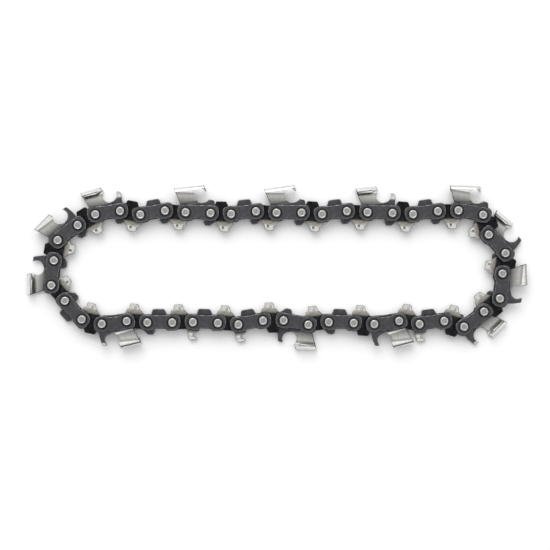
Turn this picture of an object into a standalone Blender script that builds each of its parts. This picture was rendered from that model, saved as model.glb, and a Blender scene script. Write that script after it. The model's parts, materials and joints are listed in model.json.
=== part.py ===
"""Low-profile saw chain of 23 drive links, closed into a loop and lying flat on its side.

The loop lies in the XY plane and the rivets stand along Z. Every link is drawn in its own
frame: the rear rivet is the origin, +X runs along the chain's travel to the front rivet and
+Y points out of the loop, towards the wood. Travel is clockwise as seen from above.
"""
import math

import bmesh
import bpy
from mathutils import Matrix, Vector

MM = 0.001

# Driving dimensions of the chain
PITCH = 9.525 * MM            # half the distance over three rivets: 3/8 inch
SIDE_HOLES = 10.45 * MM       # rivet to rivet in a tie strap or a cutter
DRIVE_HOLES = 2 * PITCH - SIDE_HOLES
STRAP_THICKNESS = 1.2 * MM
DRIVE_THICKNESS = 1.3 * MM    # gauge: what runs in the bar groove
RUNNING_GAP = 0.3 * MM        # between the drive link and the links beside it
SEAT_GAP = 0.1 * MM           # play of a cutter between rivet shoulder and rivet head
HOLE_GAP = 0.3 * MM           # round a rivet, in a drive link or a cutter

# Rivets
HEAD_HEIGHT = 0.75 * MM
HEAD_RADIUS = 1.95 * MM
HEAD_FLAT_RADIUS = 1.4 * MM
SHANK_RADIUS = 1.2 * MM
HUB_RADIUS = 1.75 * MM
RIVET_STEPS = 8
HOLE_STEPS = 8
FILE_STEPS = 12
UPSET_DEPTH = 0.15 * MM       # the head is driven this far into a strap's countersink

# Tie straps
STRAP_HEIGHT = 6.8 * MM
STRAP_END = 3.6 * MM          # from a rivet to the end of the strap
STRAP_CORNER = 2.2 * MM       # on the edge that faces outwards
STRAP_INNER_CORNER = 3.0 * MM
WAIST_DEPTH = 0.8 * MM
WAIST_LENGTH = 3.8 * MM
WAIST_SLOPE = 1.4 * MM
HUMP_HEIGHT = 2.2 * MM        # guard hump that stands above the lower strap's edge
HUMP_START = 2.6 * MM
HUMP_LENGTH = 6.4 * MM
HUMP_SLOPE = 1.3 * MM
TOE_DEPTH = 1.7 * MM          # foot under the front rivet of the lower plate
TOE_LENGTH = 3.1 * MM
TOE_SLOPE = 0.7 * MM
TOOTH_HEIGHT = 4.2 * MM       # raised guard tooth on three of the straps
TOOTH_SLOPE = 0.8 * MM
TOOTH_ROUND = 0.8 * MM
TOOTH_BITE = 2.1 * MM         # depth of the notch behind its crown
TOOTH_START = 2.8 * MM        # from its rear to the front rivet
TOOTH_LEAD = 2.2 * MM         # from that rivet to its front

# Drive links
DRIVE_BODY_HEIGHT = 5.9 * MM
TANG_DEPTH = 7.5 * MM         # from the rivet line to the tip
TANG_REAR = 1.3 * MM          # where the tang leaves the body, from the rear rivet
TANG_FRONT = 1.2 * MM         # where it meets the body, past the front rivet
TANG_TIP_WIDTH = 3.2 * MM
TANG_TIP_LEAD = 2.0 * MM      # how far the tip lies ahead of the link's middle
TANG_TIP_ROUND = 0.6 * MM
TANG_HOOK_RADIUS = 0.8 * MM   # the bite that scoops oil, in front of the tip
TANG_HOOK_RISE = 1.5 * MM
BUMPER_HEIGHT = 5.2 * MM      # from the rivet line, on links that follow a cutter
BUMPER_START = 1.2 * MM
BUMPER_END = 7.4 * MM
BUMPER_SLOPE = 1.2 * MM

# Cutters
CUTTER_TAIL = 1.0 * MM        # behind the rear rivet, before the strip is leant and tilted
CUTTER_NOSE = 7.9 * MM        # ahead of it, before the file cuts the edge back
CUTTER_TOP = 10.6 * MM        # top plate above the rivet line, over the rear rivet
CUTTER_LEAN = 16.0            # degrees that both ends of the side plate lean back
CUTTER_SLOPE = 8.0            # degrees that the top plate falls towards its tail
CUTTER_FLARE = 0.6 * MM       # side plate leans out by this much for clearance
CUTTER_ROOT = 2.3 * MM        # height where the side plate grows out of the chassis
TOP_PLATE_WIDTH = 4.6 * MM
TOP_PLATE_THICKNESS = 1.0 * MM
TOP_PLATE_BEND = 1.7 * MM
TOP_PLATE_TILT = 20.0         # degrees that it falls from its bend to its free edge
FILE_RADIUS = 3.0 * MM        # round file that sharpens the edge and leaves the gullet
FILE_CENTRE_X = 6.6 * MM
FILE_CENTRE_Y = 7.3 * MM
FILE_ANGLE = 30.0             # degrees across the top plate
GULLET_STOCK = 0.3 * MM       # what the blank leaves for the file to take off the gullet
GULLET_FLOOR = FILE_CENTRE_Y - FILE_RADIUS - GULLET_STOCK
PLATE_INSET = 0.1 * MM        # of the side plate inside the chassis
PLATE_FOOT = 0.6 * MM         # above the strap's edge, where the side plate starts to lean
GAUGE_TOP = 9.2 * MM          # depth gauge above the rivet line
GAUGE_START = 3.0 * MM
GAUGE_SLOPE = 0.8 * MM
GAUGE_FRONT = 12.2 * MM
GAUGE_TIP = 9.0 * MM          # where its crown starts
GAUGE_CROWN = 2.4 * MM        # length of the crown
GAUGE_ROUND = 0.9 * MM
GAUGE_SHOULDER = 5.8 * MM     # height where its front edge turns upright
GAUGE_NECK = 3.0 * MM         # width there, from the tip's line forwards

# The upper row's cutters differ: three have a long beak over a low gauge, and two have a
# tipped gauge
BEAK_NOSE = 11.8 * MM
BEAK_FILE_RADIUS = 3.2 * MM
BEAK_FILE_X = 6.6 * MM
BEAK_FILE_Y = 7.4 * MM
LOW_GAUGE_TOP = 5.6 * MM
LOW_GAUGE_NICK = 0.6 * MM
LOW_GULLET = 0.9 * MM         # gullet floor above the strap's edge
TIP_GAUGE_TOP = 8.4 * MM
TIP_GAUGE_FRONT = 11.6 * MM
TIP_GAUGE_WIDTH = 3.0 * MM
TIP_GAUGE_CORNER = 1.3 * MM
TIP_GAUGE_UNDERCUT = 0.45 * MM

# Cutters sit at these side positions, with the side that their chassis is on
CUTTER_SIDES = {1: "lower", 3: "upper", 5: "upper", 7: "lower", 9: "upper", 10: "lower",
                11: "upper", 12: "lower", 14: "upper", 16: "lower", 20: "upper", 22: "lower",
                23: "upper"}
BEAKED_CUTTERS = (3, 5, 9)
TIPPED_GAUGES = (1, 7)
GUARD_TEETH = (13, 17, 18)
SIDE_COUNT = 23
FLIPPED = range(13, 21)       # straps of the lower row have their waist outwards

# Directions of the side links in degrees. A pair is (side link, its partner, direction of the
# first); partners point exactly opposite ways, so that both can swing by one angle and the
# loop stays closed.
FREE_SIDE = 1
FREE_LEAN = 8.0
ROW_PAIRS = ((2, 17, 9.0), (3, 18, -2.0), (4, 20, 6.0), (5, 19, 0.0), (6, 13, 7.0),
             (7, 15, -2.0), (8, 14, 7.0), (9, 16, -10.0))
ARC_PAIRS = ((10, 21, -48.0), (11, 22, -96.0), (12, 23, -143.0))
UPPER_ROW = range(1, 10)
LOWER_ROW = range(13, 21)
RIGHT_TURNS = {9: -66.0, 10: -90.0, 11: -132.0, 12: -188.0}
LEFT_TURNS = {20: 162.0, 21: 126.0, 22: 74.0, 23: 26.0}

# Heights of the layers, from the floor up
LOWER_PLATE = HEAD_HEIGHT
DRIVE_LAYER = LOWER_PLATE + STRAP_THICKNESS + RUNNING_GAP
UPPER_PLATE = DRIVE_LAYER + DRIVE_THICKNESS + RUNNING_GAP
TOTAL_HEIGHT = UPPER_PLATE + STRAP_THICKNESS + HEAD_HEIGHT
CUTTER_PLATE = STRAP_THICKNESS - 2 * SEAT_GAP


def clear_scene():
    for item in list(bpy.data.objects):
        bpy.data.objects.remove(item, do_unlink=True)


def new_collection(name):
    group = bpy.data.collections.new(name)
    bpy.context.scene.collection.children.link(group)
    return group


def steel(name, colour, roughness, metallic):
    material = bpy.data.materials.new(name)
    material.use_nodes = True
    shader = material.node_tree.nodes["Principled BSDF"]
    shader.inputs["Base Color"].default_value = (*colour, 1.0)
    shader.inputs["Roughness"].default_value = roughness
    shader.inputs["Metallic"].default_value = metallic
    return material


# Outlines

def arc(centre_x, centre_y, radius, start, end, steps):
    """Points along an arc, with angles in degrees."""
    points = []
    for step in range(steps + 1):
        angle = math.radians(start + (end - start) * step / steps)
        points.append((centre_x + radius * math.cos(angle), centre_y + radius * math.sin(angle)))
    return points


def hole(centre_x, radius):
    return arc(centre_x, 0.0, radius, 0.0, 360.0 * (HOLE_STEPS - 1) / HOLE_STEPS, HOLE_STEPS - 1)


def strap_ends():
    """The four rounded corners: front outer, rear outer, rear inner, front inner."""
    half = STRAP_HEIGHT / 2
    outer = STRAP_END - STRAP_CORNER
    outer_rise = half - STRAP_CORNER
    inner = STRAP_END - STRAP_INNER_CORNER
    inner_rise = half - STRAP_INNER_CORNER
    return (arc(SIDE_HOLES + outer, outer_rise, STRAP_CORNER, 0, 90, 2),
            arc(-outer, outer_rise, STRAP_CORNER, 90, 180, 2),
            arc(-inner, -inner_rise, STRAP_INNER_CORNER, 180, 270, 2),
            arc(SIDE_HOLES + inner, -inner_rise, STRAP_INNER_CORNER, 270, 360, 2))


def waist():
    middle = SIDE_HOLES / 2
    half = STRAP_HEIGHT / 2
    inner = WAIST_LENGTH / 2
    outer = inner + WAIST_SLOPE
    return [(middle - outer, -half), (middle - inner, WAIST_DEPTH - half),
            (middle + inner, WAIST_DEPTH - half), (middle + outer, -half)]


def hump():
    half = STRAP_HEIGHT / 2
    end = HUMP_START + HUMP_LENGTH
    return [(end, half), (end - HUMP_SLOPE, half + HUMP_HEIGHT),
            (HUMP_START + HUMP_SLOPE, half + HUMP_HEIGHT), (HUMP_START, half)]


def toe():
    """A foot just behind the front rivet; it runs out into the front corner."""
    half = STRAP_HEIGHT / 2
    rear = SIDE_HOLES - TOE_LENGTH
    return [(rear, -half), (rear + TOE_SLOPE, -half - TOE_DEPTH),
            (SIDE_HOLES, -half - TOE_DEPTH)]


def guard_tooth(side):
    """A hooked tooth at the front rivet; side is 1 on the outer edge, -1 on the inner."""
    half = STRAP_HEIGHT / 2
    rear = SIDE_HOLES - TOOTH_START
    front = SIDE_HOLES + TOOTH_LEAD
    middle = (rear + front) / 2
    crown = half + TOOTH_HEIGHT
    points = [(front, half), (front - TOOTH_SLOPE, crown - TOOTH_ROUND), (middle, crown),
              (rear + TOOTH_SLOPE, crown - TOOTH_ROUND / 2), (middle, crown - TOOTH_BITE),
              (rear, half)]
    return [(x, side * y) for x, y in points]


def plain_strap_outline():
    front_outer, rear_outer, rear_inner, front_inner = strap_ends()
    return front_outer + rear_outer + rear_inner + waist() + front_inner


def footed_strap_outline():
    front_outer, rear_outer, rear_inner, front_inner = strap_ends()
    return front_outer + rear_outer + rear_inner + waist()[:3] + toe() + front_inner


def humped_strap_outline():
    front_outer, rear_outer, rear_inner, front_inner = strap_ends()
    return front_outer + hump() + rear_outer + rear_inner + waist()[:3] + toe() + front_inner


def toothed_strap_outline():
    """As the humped strap, with the tooth on the waist's side: it is only used flipped."""
    front_outer, rear_outer, rear_inner, front_inner = strap_ends()
    tooth = list(reversed(guard_tooth(-1)))
    return front_outer + hump() + rear_outer + rear_inner + waist()[:3] + tooth + front_inner[1:]


def drive_outline(with_bumper):
    half = DRIVE_BODY_HEIGHT / 2
    middle = DRIVE_HOLES / 2 + TANG_TIP_LEAD
    front = DRIVE_HOLES + TANG_FRONT
    front_corner = (front, -math.sqrt(half ** 2 - TANG_FRONT ** 2))
    tip_front = middle + TANG_TIP_WIDTH / 2
    tip_rear = middle - TANG_TIP_WIDTH / 2
    outline = arc(DRIVE_HOLES, 0, half, -30, 90, 3)
    if with_bumper:
        outline += [(BUMPER_END, half), (BUMPER_END - BUMPER_SLOPE, BUMPER_HEIGHT),
                    (BUMPER_START + BUMPER_SLOPE, BUMPER_HEIGHT), (BUMPER_START, half)]
    outline += arc(0, 0, half, 90, 270, 5)
    outline += [(TANG_REAR, -half), (tip_rear - TANG_TIP_ROUND, 2 * TANG_TIP_ROUND - TANG_DEPTH),
                (tip_rear + TANG_TIP_ROUND, -TANG_DEPTH),
                (tip_front - TANG_TIP_ROUND / 2, TANG_TIP_ROUND / 2 - TANG_DEPTH)]
    outline += arc(tip_front + TANG_HOOK_RADIUS, TANG_HOOK_RISE - TANG_DEPTH, TANG_HOOK_RADIUS,
                   200, 70, 2)
    outline += [front_corner]
    return outline


def hooked_gauge(half):
    return [(GAUGE_FRONT, half), (GAUGE_TIP + GAUGE_NECK, GAUGE_SHOULDER),
            (GAUGE_TIP + GAUGE_CROWN, GAUGE_TOP - GAUGE_ROUND),
            (GAUGE_TIP + GAUGE_CROWN - GAUGE_ROUND, GAUGE_TOP), (GAUGE_TIP, GAUGE_TOP),
            (FILE_CENTRE_X, GULLET_FLOOR)]


def low_gauge(half):
    return [(GAUGE_FRONT, half), (GAUGE_FRONT - LOW_GAUGE_NICK, LOW_GAUGE_TOP - LOW_GAUGE_NICK),
            (GAUGE_TIP, LOW_GAUGE_TOP), (FILE_CENTRE_X, half + LOW_GULLET)]


def tipped_gauge(half):
    rear = TIP_GAUGE_FRONT - TIP_GAUGE_WIDTH
    return [(TIP_GAUGE_FRONT, half), (TIP_GAUGE_FRONT, TIP_GAUGE_TOP - TIP_GAUGE_CORNER),
            (TIP_GAUGE_FRONT - TIP_GAUGE_CORNER, TIP_GAUGE_TOP), (rear, TIP_GAUGE_TOP),
            (rear + TIP_GAUGE_UNDERCUT, LOW_GAUGE_TOP), (FILE_CENTRE_X, half + LOW_GULLET)]


def cutter_outline(gauge, footed):
    """Chassis with its depth gauge as it is blanked, before the file cuts the gullet."""
    front_outer, rear_outer, rear_inner, front_inner = strap_ends()
    half = STRAP_HEIGHT / 2
    outline = front_outer[:2] + gauge(half)
    outline += [(GAUGE_START + GAUGE_SLOPE, GULLET_FLOOR), (GAUGE_START, half)]
    outline += rear_outer + rear_inner
    if footed:
        return outline + waist()[:3] + toe() + front_inner
    return outline + waist() + front_inner


# Solids

def mesh_of(item, name):
    """The evaluated mesh of an object, welded; the object and its data go."""
    graph = bpy.context.evaluated_depsgraph_get()
    mesh = bpy.data.meshes.new_from_object(item.evaluated_get(graph))
    mesh.name = name
    mesh.transform(item.matrix_world)
    bpy.data.objects.remove(item, do_unlink=True)
    work = bmesh.new()
    work.from_mesh(mesh)
    bmesh.ops.remove_doubles(work, verts=work.verts, dist=0.002 * MM)
    bmesh.ops.recalc_face_normals(work, faces=work.faces)
    work.to_mesh(mesh)
    work.free()
    return mesh


def work_object(name, data, group):
    item = bpy.data.objects.new(name, data)
    group.objects.link(item)
    item.hide_render = True
    item.display_type = "WIRE"
    return item


def flat_plate(name, outlines, bottom, thickness, group):
    """A flat stamping: the first outline is its edge and the others are its holes."""
    curve = bpy.data.curves.new(name, "CURVE")
    curve.dimensions = "2D"
    curve.fill_mode = "BOTH"
    curve.extrude = thickness / 2
    for outline in outlines:
        spline = curve.splines.new("POLY")
        spline.points.add(len(outline) - 1)
        for point, (x, y) in zip(spline.points, outline):
            point.co = (x, y, 0.0, 1.0)
        spline.use_cyclic_u = True
    item = work_object(name, curve, group)
    item.location.z = bottom + thickness / 2
    bpy.context.view_layer.update()
    return mesh_of(item, name)


def turned(name, profile, group):
    """A turned piece from (radius, height) points that run from its top to its bottom."""
    mesh = bpy.data.meshes.new(name)
    points = [(radius, 0.0, height) for radius, height in profile]
    edges = [(index, index + 1) for index in range(len(points) - 1)]
    mesh.from_pydata(points, edges, [])
    item = work_object(name, mesh, group)
    screw = item.modifiers.new("Turn", "SCREW")
    screw.steps = RIVET_STEPS
    screw.render_steps = RIVET_STEPS
    screw.use_merge_vertices = True
    screw.merge_threshold = 0.001 * MM
    bpy.context.view_layer.update()
    return mesh_of(item, name)


def combine(name, first, others, operation, group):
    """Boolean of one mesh with each of the others in turn."""
    target = work_object(name, first, group)
    cutters = []
    for number, other in enumerate(others):
        cutter = work_object(f"{name}_with_{number}", other, group)
        step = target.modifiers.new(f"Step {number}", "BOOLEAN")
        step.operation = operation
        step.solver = "EXACT"
        step.object = cutter
        cutters.append(cutter)
    bpy.context.view_layer.update()
    result = mesh_of(target, name)
    for cutter in cutters:
        bpy.data.objects.remove(cutter, do_unlink=True)
    return result


def moved(mesh, x):
    copy = mesh.copy()
    copy.transform(Matrix.Translation((x, 0.0, 0.0)))
    return copy


def turned_over(mesh, matrix):
    """A mirrored copy whose faces still point out."""
    copy = mesh.copy()
    copy.transform(matrix)
    copy.flip_normals()
    return copy


def upside_down(mesh):
    flip = Matrix.Translation((0, 0, TOTAL_HEIGHT)) @ Matrix.Diagonal((1, 1, -1, 1))
    return turned_over(mesh, flip)


def edge_swapped(mesh):
    return turned_over(mesh, Matrix.Diagonal((1, -1, 1, 1)))


def rivet_profile(upper_fused, lower_fused):
    """Heads, shanks and the thick hub that the drive link turns on."""
    top = TOTAL_HEIGHT
    upper_seat = top - HEAD_HEIGHT - (UPSET_DEPTH if upper_fused else 0.0)
    lower_seat = HEAD_HEIGHT + (UPSET_DEPTH if lower_fused else 0.0)
    hub_top = UPPER_PLATE + (UPSET_DEPTH if upper_fused else 0.0)
    hub_bottom = LOWER_PLATE + STRAP_THICKNESS - (UPSET_DEPTH if lower_fused else 0.0)
    profile = [(0.0, top), (HEAD_FLAT_RADIUS, top), (HEAD_RADIUS, top - HEAD_HEIGHT)]
    if upper_fused:
        profile.append((HEAD_RADIUS, upper_seat))
    profile += [(SHANK_RADIUS, upper_seat), (SHANK_RADIUS, hub_top), (HUB_RADIUS, hub_top),
                (HUB_RADIUS, hub_bottom), (SHANK_RADIUS, hub_bottom), (SHANK_RADIUS, lower_seat)]
    if lower_fused:
        profile.append((HEAD_RADIUS, lower_seat))
    profile += [(HEAD_RADIUS, HEAD_HEIGHT), (HEAD_FLAT_RADIUS, 0.0), (0.0, 0.0)]
    return profile


def riveted(name, straps, upper_fused, lower_fused, group):
    """Straps and their two rivets as one solid."""
    rivet = turned("rivet", rivet_profile(upper_fused, lower_fused), group)
    parts = straps + [moved(rivet, SIDE_HOLES)]
    return combine(name, rivet, parts, "UNION", group)


def bent_plates(nose, group):
    """Side plate and top plate, bent from one strip, with the section drawn in Y and Z."""
    outer = UPPER_PLATE + SEAT_GAP + CUTTER_PLATE
    inner = outer - CUTTER_PLATE + PLATE_INSET
    foot = STRAP_HEIGHT / 2 + PLATE_FOOT
    top = CUTTER_TOP
    bend = TOP_PLATE_BEND
    wall = TOP_PLATE_THICKNESS
    face = outer + CUTTER_FLARE
    fall = TOP_PLATE_WIDTH * math.tan(math.radians(TOP_PLATE_TILT))
    free_edge = face - TOP_PLATE_WIDTH
    section = [(CUTTER_ROOT, outer - PLATE_INSET), (foot, outer)]
    section += arc(top - bend, face - bend, bend, 90, 0, 3)
    section += [(top - fall, free_edge), (top - fall - wall, free_edge)]
    section += arc(top - bend, face - bend, bend - wall, 0, 90, 1)
    section += [(foot, inner + PLATE_INSET), (CUTTER_ROOT, inner)]
    length = CUTTER_TAIL + nose
    strip = flat_plate("cutter_strip", [section], -length / 2, length, group)
    # The strip's own X, Y and Z become the link's Y, Z and X
    strip.transform(Matrix(((0, 0, 1, 0), (1, 0, 0, 0), (0, 1, 0, 0), (0, 0, 0, 1))))
    strip.transform(Matrix.Translation(((nose - CUTTER_TAIL) / 2, 0, 0)))
    lean = Matrix.Identity(4)
    lean[0][1] = -math.tan(math.radians(CUTTER_LEAN))
    strip.transform(lean)
    strip.transform(Matrix.Rotation(math.radians(CUTTER_SLOPE), 4, "Z"))
    return strip


def file_cut(radius, centre_x, centre_y):
    """The round file, as a cylinder that lies across the cutter at its filing angle."""
    work = bmesh.new()
    bmesh.ops.create_cone(work, cap_ends=True, segments=FILE_STEPS, radius1=radius,
                          radius2=radius, depth=4 * TOTAL_HEIGHT)
    mesh = bpy.data.meshes.new("file")
    work.to_mesh(mesh)
    work.free()
    mesh.transform(Matrix.Rotation(math.radians(FILE_ANGLE), 4, "Y"))
    mesh.transform(Matrix.Translation((centre_x, centre_y, UPPER_PLATE + STRAP_THICKNESS / 2)))
    return mesh


def cutter(name, gauge, footed, nose, file, group):
    radius = SHANK_RADIUS + HOLE_GAP
    outlines = [cutter_outline(gauge, footed), hole(0.0, radius), hole(SIDE_HOLES, radius)]
    chassis = flat_plate(name, outlines, UPPER_PLATE + SEAT_GAP, CUTTER_PLATE, group)
    body = combine(name, chassis, [bent_plates(nose, group)], "UNION", group)
    return combine(name, body, [file], "DIFFERENCE", group)


def drive_link(name, with_bumper, group):
    radius = HUB_RADIUS + HOLE_GAP
    outlines = [drive_outline(with_bumper), hole(0.0, radius), hole(DRIVE_HOLES, radius)]
    return flat_plate(name, outlines, DRIVE_LAYER, DRIVE_THICKNESS, group)


def strap(name, outline, bottom, group):
    return flat_plate(name, [outline], bottom, STRAP_THICKNESS, group)


# The loop

def side_headings():
    headings = {FREE_SIDE: FREE_LEAN}
    for first, second, lean in ROW_PAIRS + ARC_PAIRS:
        headings[first] = lean
        headings[second] = lean + 180.0
    return headings


def row_drive_heading(rear, front, direction):
    """A drive link that keeps the middles of its two neighbours on one straight line."""
    rise = -SIDE_HOLES / 2 * (math.sin(math.radians(rear)) + math.sin(math.radians(front)))
    run = math.sqrt(DRIVE_HOLES ** 2 - rise ** 2)
    return math.degrees(math.atan2(rise, direction * run))


def headings_of(right_turn, left_turn):
    """Headings of all links in order: side 1, drive 1, side 2 and so on."""
    sides = side_headings()
    result = []
    for number in range(1, SIDE_COUNT + 1):
        result.append(sides[number])
        following = number % SIDE_COUNT + 1
        if number in UPPER_ROW and following in UPPER_ROW:
            result.append(row_drive_heading(sides[number], sides[following], 1))
        elif number in LOWER_ROW and following in LOWER_ROW:
            result.append(row_drive_heading(sides[number], sides[following], -1))
        elif number in RIGHT_TURNS:
            result.append(RIGHT_TURNS[number] + right_turn)
        else:
            result.append(LEFT_TURNS[number] + left_turn)
    return result


def pivots_of(headings):
    points = [Vector((0.0, 0.0))]
    for index, heading in enumerate(headings):
        length = DRIVE_HOLES if index % 2 else SIDE_HOLES
        angle = math.radians(heading)
        points.append(points[-1] + length * Vector((math.cos(angle), math.sin(angle))))
    return points


def closed_headings():
    """Turns both end bends as a whole until the chain's last pivot meets its first."""
    turns = [0.0, 0.0]
    nudge = 0.01
    for _ in range(30):
        miss = pivots_of(headings_of(*turns))[-1]
        if miss.length < 1e-9:
            break
        by_right = (pivots_of(headings_of(turns[0] + nudge, turns[1]))[-1] - miss) / nudge
        by_left = (pivots_of(headings_of(turns[0], turns[1] + nudge))[-1] - miss) / nudge
        area = by_right.x * by_left.y - by_right.y * by_left.x
        turns[0] -= (miss.x * by_left.y - miss.y * by_left.x) / area
        turns[1] -= (by_right.x * miss.y - by_right.y * miss.x) / area
    return headings_of(*turns)


HEADINGS = closed_headings()
PIVOTS = pivots_of(HEADINGS)[:-1]
OPEN_PIVOT = 22               # between drive link 11 and side link 12, where the tree is cut


def hinge_of(index):
    """The pivot that a link turns on in the tree that grows both ways from side link 1."""
    if 0 < index <= OPEN_PIVOT - 1:
        return index
    return (index + 1) % len(HEADINGS)


def place(name, mesh, index, parts, hinges):
    """Puts a link's piece on its hinge: the empty stands on the axis and the piece hangs from it."""
    item = bpy.data.objects.new(name, mesh)
    parts.objects.link(item)
    item.parent = hinges[index]
    if hinge_of(index) != index:
        length = DRIVE_HOLES if index % 2 else SIDE_HOLES
        item.location.x = -length
    return item


def make_hinges(group):
    hinges = []
    for index, heading in enumerate(HEADINGS):
        name = f"hinge_drive_{index // 2 + 1:02d}" if index % 2 else f"hinge_side_{index // 2 + 1:02d}"
        empty = bpy.data.objects.new(name, None)
        empty.empty_display_size = 2 * MM
        empty.location = (*PIVOTS[hinge_of(index)], 0.0)
        empty.rotation_euler.z = math.radians(heading)
        group.objects.link(empty)
        hinges.append(empty)
    return hinges


def dress(mesh, material, smooth_angle=30.0):
    mesh.materials.clear()
    mesh.materials.append(material)
    mesh.shade_smooth()
    mesh.set_sharp_from_angle(angle=math.radians(smooth_angle))
    return mesh


def make_meshes(group):
    """One mesh for each kind of piece, drawn once and shared by all its copies."""
    black = steel("blued_chain_steel", (0.045, 0.048, 0.055), 0.42, 0.85)
    drive_steel = steel("ground_drive_link_steel", (0.10, 0.10, 0.11), 0.38, 0.9)
    chrome = steel("chromed_cutter_steel", (0.72, 0.72, 0.72), 0.22, 1.0)
    plain = plain_strap_outline()
    humped = humped_strap_outline()
    toothed = toothed_strap_outline()
    upper = strap("upper_strap", plain, UPPER_PLATE, group)
    lower = strap("lower_strap", humped, LOWER_PLATE, group)
    guard = strap("guard_strap", toothed, LOWER_PLATE, group)
    preset_lower = strap("preset_lower", footed_strap_outline(), LOWER_PLATE, group)
    preset_upper = strap("preset_upper", plain, LOWER_PLATE, group)
    short_file = file_cut(FILE_RADIUS, FILE_CENTRE_X, FILE_CENTRE_Y)
    long_file = file_cut(BEAK_FILE_RADIUS, BEAK_FILE_X, BEAK_FILE_Y)
    meshes = {
        "tie": riveted("tie_link", [upper.copy(), lower], True, True, group),
        "guard": riveted("guard_link", [upper.copy(), guard], True, True, group),
        "preset_lower": riveted("preset_lower", [preset_lower], False, True, group),
        "drive": drive_link("drive_link", False, group),
        "bumper": drive_link("bumper_link", True, group),
    }
    meshes["preset_upper"] = upside_down(riveted("preset_upper", [preset_upper], False, True, group))
    for kind, gauge, side, nose, file in (
            ("hooked", hooked_gauge, "upper", CUTTER_NOSE, short_file),
            ("hooked", hooked_gauge, "lower", CUTTER_NOSE, short_file),
            ("tipped", tipped_gauge, "lower", CUTTER_NOSE, short_file),
            ("beaked", low_gauge, "upper", BEAK_NOSE, long_file)):
        made = cutter(f"{kind}_{side}", gauge, side == "lower", nose, file.copy(), group)
        meshes[f"{kind}_{side}"] = dress(upside_down(made) if side == "lower" else made, chrome)
    for kind in ("tie", "guard", "preset_lower", "preset_upper"):
        dress(meshes[kind], black)
        meshes[kind + "_flipped"] = edge_swapped(meshes[kind])
    dress(meshes["drive"], drive_steel)
    dress(meshes["bumper"], drive_steel)
    return meshes


def make_side(number, meshes, parts, hinges):
    index = 2 * (number - 1)
    flipped = "_flipped" if number in FLIPPED else ""
    if number not in CUTTER_SIDES:
        kind = "guard" if number in GUARD_TEETH else "tie"
        place(f"tie_link_{number:02d}", meshes[kind + flipped], index, parts, hinges)
        return
    side = CUTTER_SIDES[number]
    other = "lower" if side == "upper" else "upper"
    style = "hooked"
    if number in BEAKED_CUTTERS:
        style = "beaked"
    elif number in TIPPED_GAUGES:
        style = "tipped"
    hand = "left" if side == "upper" else "right"
    place(f"preset_strap_{number:02d}", meshes[f"preset_{other}{flipped}"], index, parts, hinges)
    place(f"{hand}_cutter_{number:02d}", meshes[f"{style}_{side}"], index, parts, hinges)


def make_drive(number, meshes, parts, hinges):
    kind = "bumper" if number in CUTTER_SIDES else "drive"
    place(f"drive_link_{number:02d}", meshes[kind], 2 * number - 1, parts, hinges)


def centre_on_floor(solids, hinges):
    """Moves the loop so that the middle of its outer box stands over the origin."""
    bpy.context.view_layer.update()
    corners = [item.matrix_world @ vertex.co for item in solids for vertex in item.data.vertices]
    middle_x = (min(c.x for c in corners) + max(c.x for c in corners)) / 2
    middle_y = (min(c.y for c in corners) + max(c.y for c in corners)) / 2
    for hinge in hinges:
        hinge.location -= Vector((middle_x, middle_y, 0.0))


def main():
    clear_scene()
    parts = new_collection("saw_chain")
    workshop = new_collection("workshop")
    meshes = make_meshes(workshop)
    hinges = make_hinges(parts)
    for number in range(1, SIDE_COUNT + 1):
        make_side(number, meshes, parts, hinges)
        make_drive(number, meshes, parts, hinges)
    centre_on_floor([item for item in parts.objects if item.type == "MESH"], hinges)
    bpy.context.view_layer.update()


main()
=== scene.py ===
# %% [markdown]
# # A saw chain, lying on white paper
#
# A low-profile saw chain is made of four kinds of steel piece: tie straps, cutters and drive
# links, which are stamped, and rivets, which are turned. Each kind is modelled once, at the
# origin, and then copied along the loop. The CAD frame says where every rivet of the loop
# stands, so a copy needs only the two rivets that it hangs on.

# %% Load the frame and keep its box
import json
import math

import bpy
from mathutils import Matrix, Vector

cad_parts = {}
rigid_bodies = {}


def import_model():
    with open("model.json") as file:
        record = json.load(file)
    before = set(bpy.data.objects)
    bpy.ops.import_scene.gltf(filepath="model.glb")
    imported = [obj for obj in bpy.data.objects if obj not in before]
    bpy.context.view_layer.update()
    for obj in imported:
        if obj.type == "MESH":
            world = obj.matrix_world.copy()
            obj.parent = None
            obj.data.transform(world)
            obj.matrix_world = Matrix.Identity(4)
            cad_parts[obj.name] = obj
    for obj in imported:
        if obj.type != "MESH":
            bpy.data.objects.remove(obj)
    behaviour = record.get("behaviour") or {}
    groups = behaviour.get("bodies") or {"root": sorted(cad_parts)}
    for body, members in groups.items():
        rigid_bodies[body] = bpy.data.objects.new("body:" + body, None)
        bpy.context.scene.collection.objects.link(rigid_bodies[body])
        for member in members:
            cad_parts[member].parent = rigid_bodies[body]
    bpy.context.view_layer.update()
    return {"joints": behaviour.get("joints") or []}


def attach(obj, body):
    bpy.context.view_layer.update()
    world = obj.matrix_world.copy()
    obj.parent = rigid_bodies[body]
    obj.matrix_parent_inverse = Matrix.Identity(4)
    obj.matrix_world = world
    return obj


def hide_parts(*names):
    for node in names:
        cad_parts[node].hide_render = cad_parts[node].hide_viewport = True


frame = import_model()

# %% [markdown]
# ## Sizes
#
# Everything is drawn in millimetres, a thousand times too large, and brought to metres when a
# copy is put in its place. Blender's bevel and boolean tools round off at about a hundred
# thousandth of a unit, which is too coarse for a 0.1 mm edge that is drawn in metres.

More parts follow.
